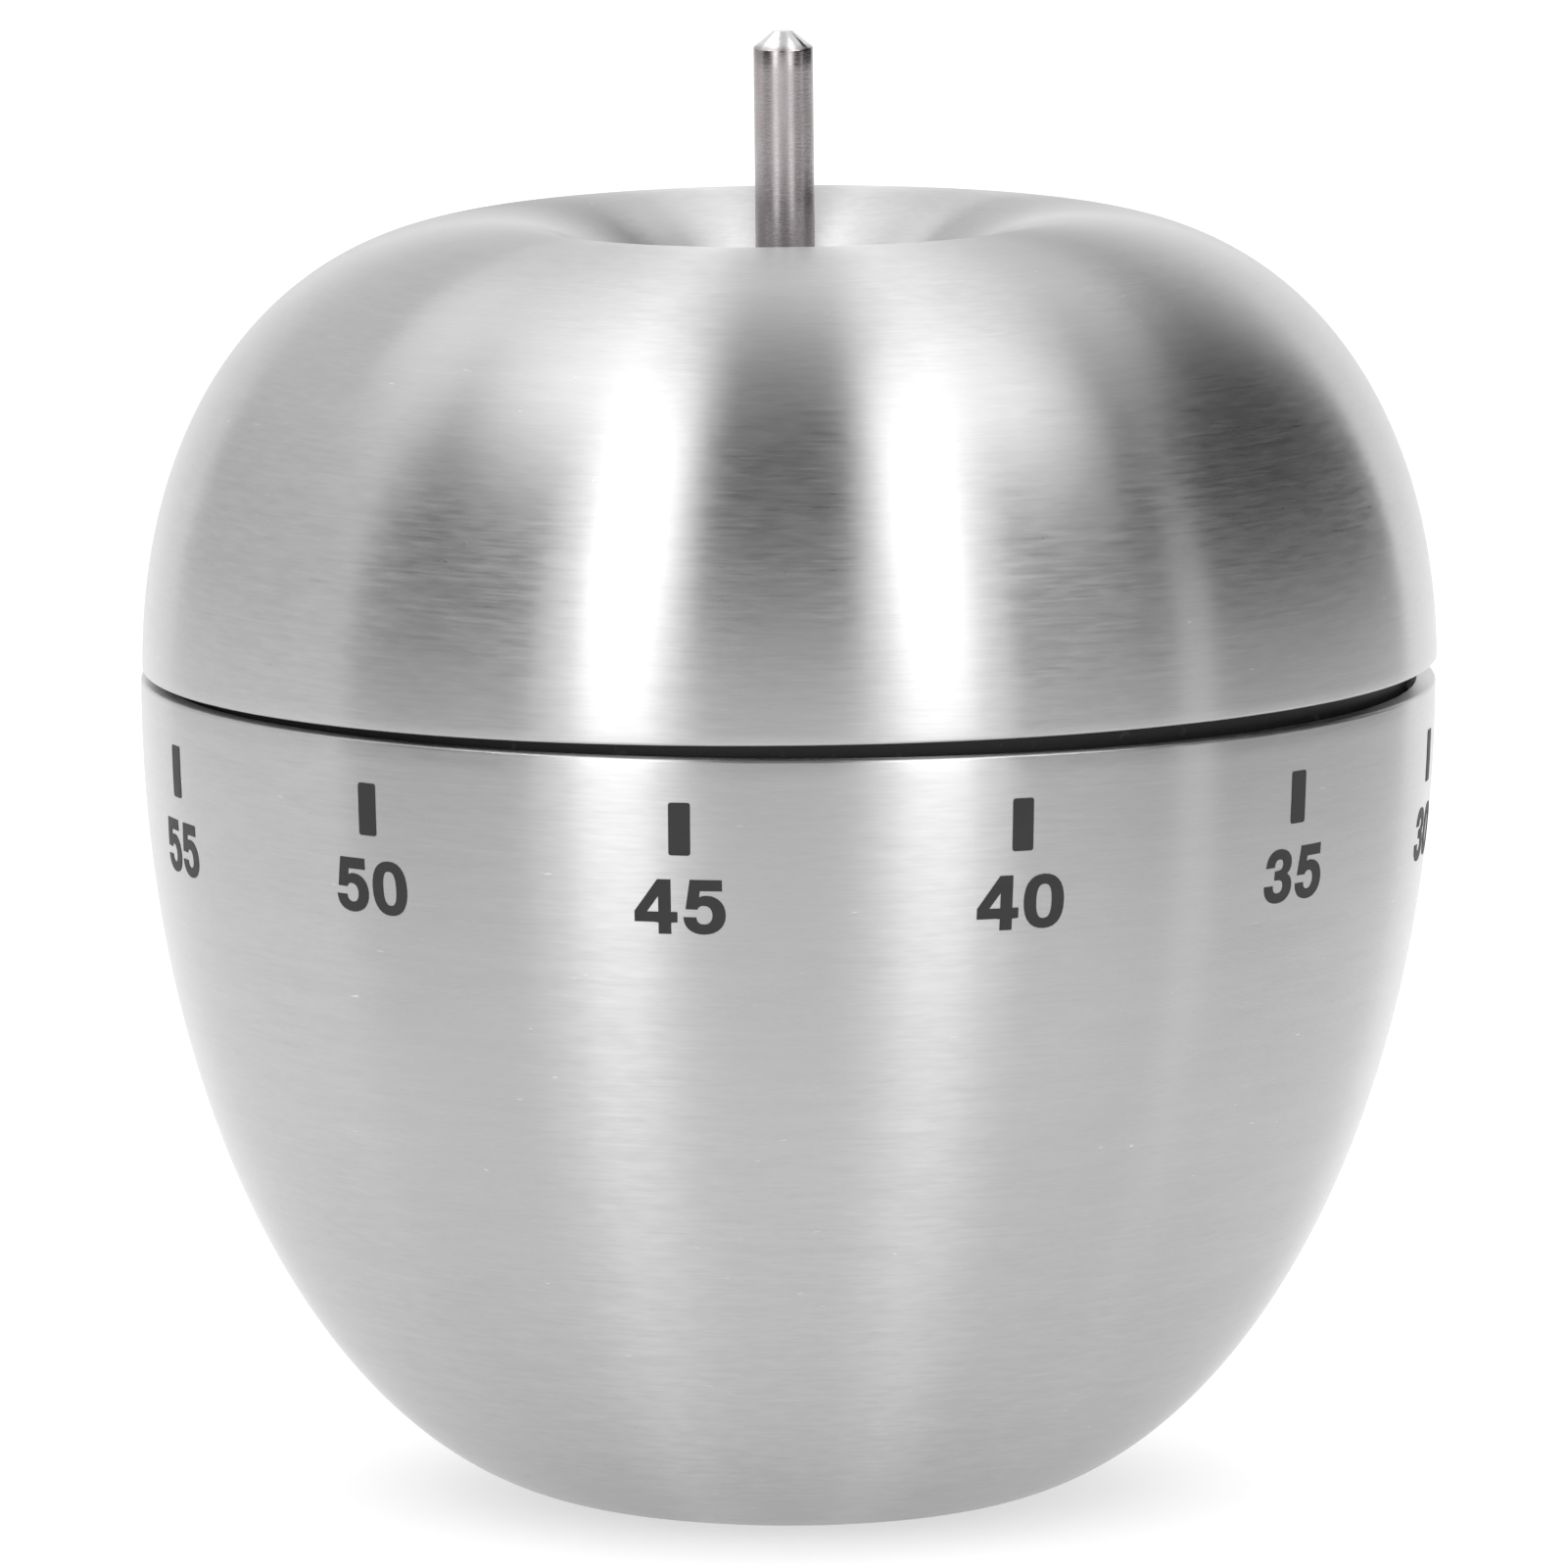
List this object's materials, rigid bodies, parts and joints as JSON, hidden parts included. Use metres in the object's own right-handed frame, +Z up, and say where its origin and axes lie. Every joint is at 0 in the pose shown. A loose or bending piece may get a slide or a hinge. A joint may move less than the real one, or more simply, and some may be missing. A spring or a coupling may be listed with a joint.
{
  "type": "kitchen timer",
  "caption": "Apple-shaped mechanical kitchen timer: brushed steel bowl with a minute scale, a domed lid turned by hand with a thin stem, and a clockwork movement with a bell inside.",
  "frame": {"origin": "middle of the flat base, on the surface the timer stands on", "axes": "+Z up along the lid's turning axis; -Y towards the front of the minute scale; +X to the right seen from the front"},
  "size_m": [0.0601, 0.06, 0.0683],
  "materials": {
    "brushed_shell": "fine circular brushing",
    "stem_steel": "dark turned finish",
    "bright_steel": "satin",
    "black_plastic": "moulded, matt",
    "plate_brass": "stamped, satin",
    "turned_brass": "turned",
    "gear_brass": "cut and polished",
    "pinion_steel": "cut",
    "ground_steel": "ground",
    "screw_steel": "plated",
    "stamped_steel": "stamped",
    "spring_steel": "blued",
    "cam_plastic": "moulded",
    "bell_metal": "spun, nickelled"
  },
  "bodies": {
    "bowl": {"lower_shell": "brushed_shell", "movement_cover": "black_plastic", "bottom_plate": "plate_brass", "top_plate": "plate_brass", "pillars": "turned_brass", "plate_screws": "screw_steel", "standoffs": "turned_brass", "cover_screws": "screw_steel", "arbor_bushes": "turned_brass", "spring_cup": "stamped_steel", "cup_rivets": "screw_steel", "mainspring": "spring_steel", "trip_post": "ground_steel", "lever_clip": "screw_steel", "hammer_spring": "spring_steel", "lever_spring": "spring_steel", "spring_screws": "screw_steel", "bell_post": "turned_brass", "post_screws": "screw_steel", "bell": "bell_metal", "bell_washer": "screw_steel", "bell_screw": "screw_steel"},
    "lid": {"upper_shell": "brushed_shell", "stem": "stem_steel", "stem_washer": "bright_steel", "lid_carrier": "black_plastic", "stop_peg": "ground_steel", "drive_pin": "ground_steel", "centre_arbor": "ground_steel", "arbor_clip": "screw_steel", "great_wheel": "gear_brass", "clutch_spring": "stamped_steel", "clutch_collar": "turned_brass", "alarm_cam": "cam_plastic"},
    "second_shaft": {"second_arbor": "ground_steel", "second_pinion": "pinion_steel", "second_wheel": "gear_brass"},
    "third_shaft": {"third_arbor": "ground_steel", "third_pinion": "pinion_steel", "third_wheel": "gear_brass"},
    "escape_shaft": {"escape_arbor": "ground_steel", "escape_pinion": "pinion_steel", "escape_wheel": "gear_brass"},
    "beat": {"anchor_arbor": "ground_steel", "anchor": "stamped_steel", "pallet_pins": "ground_steel", "balance_weight": "turned_brass"},
    "star_shaft": {"star_arbor": "ground_steel", "star_pinion": "pinion_steel", "star_wheel": "pinion_steel"},
    "hammer": {"hammer_arbor": "ground_steel", "hammer_arm": "stamped_steel", "hammer_head": "turned_brass", "hammer_finger": "stamped_steel", "hammer_catch": "stamped_steel"},
    "trip": {"trip_lever": "stamped_steel"}
  },
  "joints": [
    {"name": "lid_turn", "type": "hinge", "parent": "bowl", "child": "lid", "pos_m": [0, 0, 0.039], "axis": [0, 0, -1], "range_deg": [0, 355]},
    {"name": "second_spin", "type": "hinge", "parent": "bowl", "child": "second_shaft", "pos_m": [-0.01316, -0.00479, 0], "axis": [0, 0, 1], "continuous": true},
    {"name": "third_spin", "type": "hinge", "parent": "bowl", "child": "third_shaft", "pos_m": [-0.00801, -0.01092, 0], "axis": [0, 0, 1], "continuous": true},
    {"name": "escape_spin", "type": "hinge", "parent": "bowl", "child": "escape_shaft", "pos_m": [-0.00144, -0.01331, 0], "axis": [0, 0, 1], "continuous": true},
    {"name": "star_spin", "type": "hinge", "parent": "bowl", "child": "star_shaft", "pos_m": [0.00362, 0.01352, 0], "axis": [0, 0, 1], "continuous": true},
    {"name": "anchor_rock", "type": "hinge", "parent": "bowl", "child": "beat", "pos_m": [0.00556, -0.01331, 0], "axis": [0, 0, 1], "range_deg": [-5, 5]},
    {"name": "hammer_swing", "type": "hinge", "parent": "bowl", "child": "hammer", "pos_m": [0.01149, 0.00964, 0], "axis": [0, 0, 1], "range_deg": [0, 7.5]},
    {"name": "trip_drop", "type": "hinge", "parent": "bowl", "child": "trip", "pos_m": [0.01255, 0.00301, 0], "axis": [0, 0, -1], "range_deg": [0, 5]}
  ],
  "couplings": [
    {"joint": "second_spin", "follows": "lid_turn", "ratio": 6},
    {"joint": "third_spin", "follows": "lid_turn", "ratio": -42},
    {"joint": "escape_spin", "follows": "lid_turn", "ratio": 252},
    {"joint": "star_spin", "follows": "lid_turn", "ratio": 6}
  ]
}
